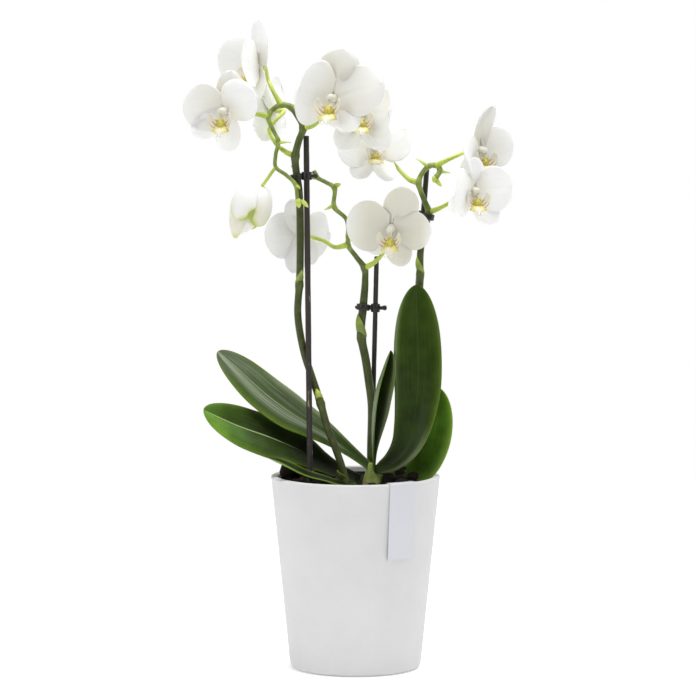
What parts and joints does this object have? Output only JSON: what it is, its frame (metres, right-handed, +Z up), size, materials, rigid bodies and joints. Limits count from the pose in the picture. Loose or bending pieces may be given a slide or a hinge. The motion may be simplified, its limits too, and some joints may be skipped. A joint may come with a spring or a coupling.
{
  "type": "potted orchid",
  "caption": "White moth orchid with three staked flower spikes and glossy green leaves in a round tapered matt off-white pot.",
  "frame": {"origin": "middle of the underside of the pot's foot", "axes": "+Z up, -Y towards the picture's viewer, +X to the viewer's right"},
  "size_m": [0.2705, 0.1398, 0.535],
  "materials": {
    "pot_body": "matt off-white with a stone-like mottling",
    "nursery_plastic": "thin dark plastic",
    "pine_bark": "rough chips",
    "white_card": "smooth white card",
    "stake_cane": "dark stained, weathered",
    "clip_plastic": "dark brown, slightly glossy",
    "green_stem": "waxy olive green",
    "young_sheath": "waxy yellow-green",
    "leaf_blade": "glossy deep green, leathery",
    "white_petal": "matt white, translucent",
    "yellow_lip": "waxy yellow and white with red-brown stripes"
  },
  "bodies": {
    "root": {"pot": "pot_body", "nursery_pot": "nursery_plastic", "bark": "pine_bark", "tag": "white_card", "stake_left": "stake_cane", "clip_left": "clip_plastic", "spike_left": "green_stem", "stake_middle": "stake_cane", "clip_middle": "clip_plastic", "spike_middle": "green_stem", "stake_right": "stake_cane", "clip_right": "clip_plastic", "spike_right": "green_stem", "crown": "young_sheath", "leaf_1": "leaf_blade", "leaf_2": "leaf_blade", "leaf_3": "leaf_blade", "leaf_4": "leaf_blade", "leaf_5": "leaf_blade", "leaf_6": "leaf_blade", "bloom_01": "white_petal", "lip_01": "yellow_lip", "bloom_02": "white_petal", "lip_02": "yellow_lip", "bloom_03": "white_petal", "lip_03": "yellow_lip", "bloom_04": "white_petal", "lip_04": "yellow_lip", "bloom_05": "white_petal", "lip_05": "yellow_lip", "bloom_06": "white_petal", "lip_06": "yellow_lip", "bloom_07": "white_petal", "lip_07": "yellow_lip", "bloom_08": "white_petal", "lip_08": "yellow_lip", "bloom_09": "white_petal", "lip_09": "yellow_lip", "bloom_10": "white_petal", "lip_10": "yellow_lip", "bud": "white_petal"}
  },
  "joints": []
}
